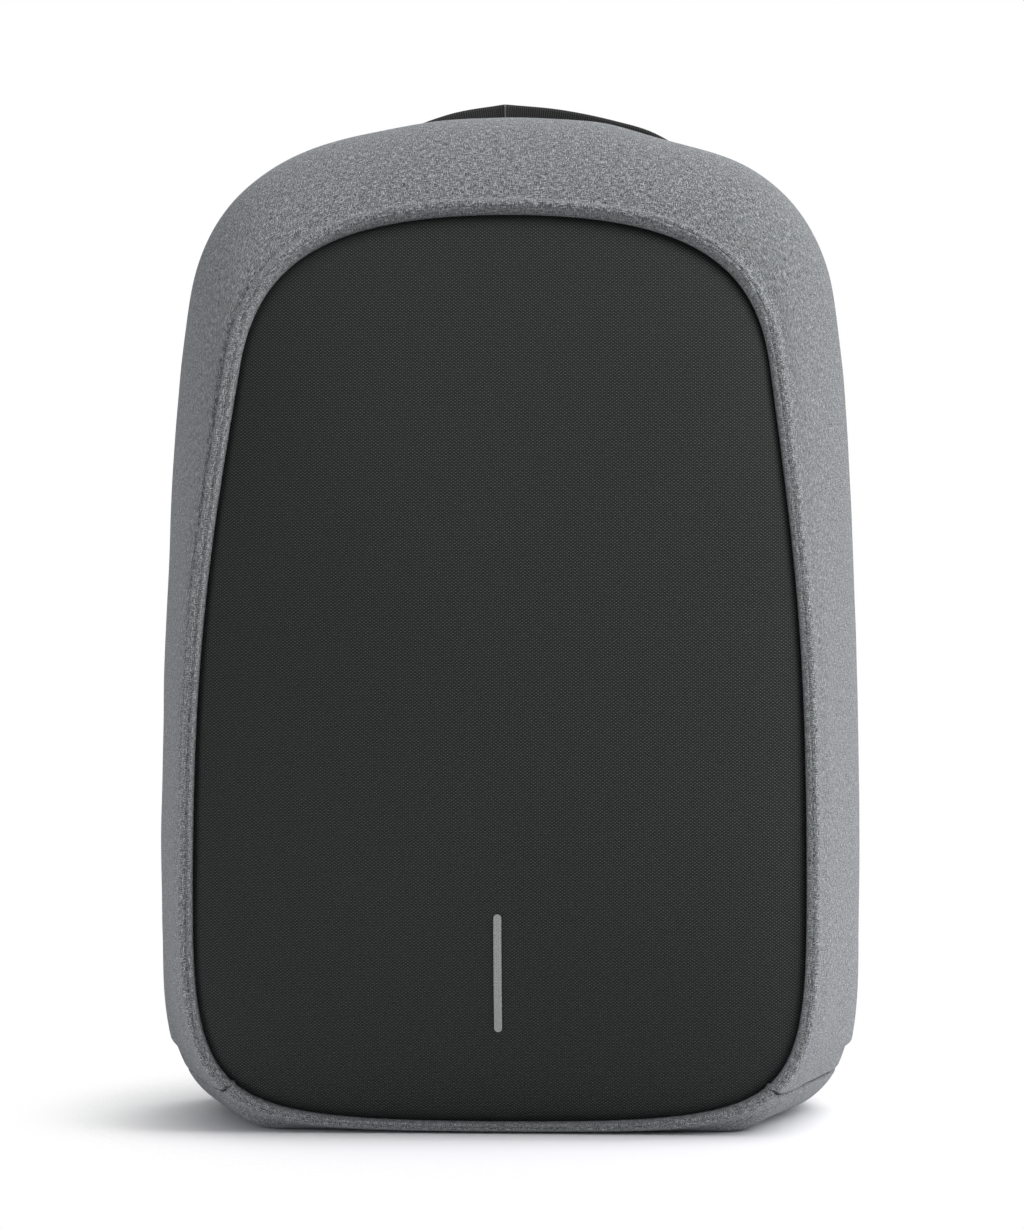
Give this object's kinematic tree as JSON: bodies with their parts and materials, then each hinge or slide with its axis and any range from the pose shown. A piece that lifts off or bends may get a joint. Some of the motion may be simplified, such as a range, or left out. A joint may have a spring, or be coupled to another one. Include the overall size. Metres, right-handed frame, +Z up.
{
  "type": "anti theft backpack",
  "caption": "Free-standing rounded backpack: grey padded gusset and base, domed black front panel in a rolled rim, zip hidden at the back, webbing handle and padded shoulder straps.",
  "frame": {"origin": "on the flat underside, on the centre line, below the middle of the bag's closed body", "axes": "+Z up, +Y towards the wearer's back where the straps are, +X to the right of someone who faces the front panel"},
  "size_m": [0.3124, 0.2117, 0.4501],
  "materials": {
    "heather_fabric": "grey melange woven polyester over foam, matte",
    "panel_fabric": "coarse plain-weave coated polyester over a moulded shell, dull sheen",
    "reflective_film": "silver grey retroreflective film, matte",
    "black_fabric": "black woven polyester, matte",
    "zip_tape": "black zip tape with a reversed nylon coil",
    "mesh_fabric": "black spacer mesh over foam",
    "webbing": "black ribbed polyester webbing",
    "strap_fabric": "black woven polyester over foam with bound edges",
    "black_plastic": "black moulded plastic, satin"
  },
  "bodies": {
    "root": {"side_wall": "heather_fabric", "base_panel": "heather_fabric", "front_panel": "panel_fabric", "reflective_strip": "reflective_film", "back_border": "black_fabric", "zip": "zip_tape", "back_panel": "black_fabric", "back_pad": "mesh_fabric", "handle": "webbing", "shoulder_strap_left": "strap_fabric", "shoulder_strap_right": "strap_fabric", "adjuster_left": "black_plastic", "adjuster_right": "black_plastic", "webbing_left": "webbing", "webbing_right": "webbing"}
  },
  "joints": []
}
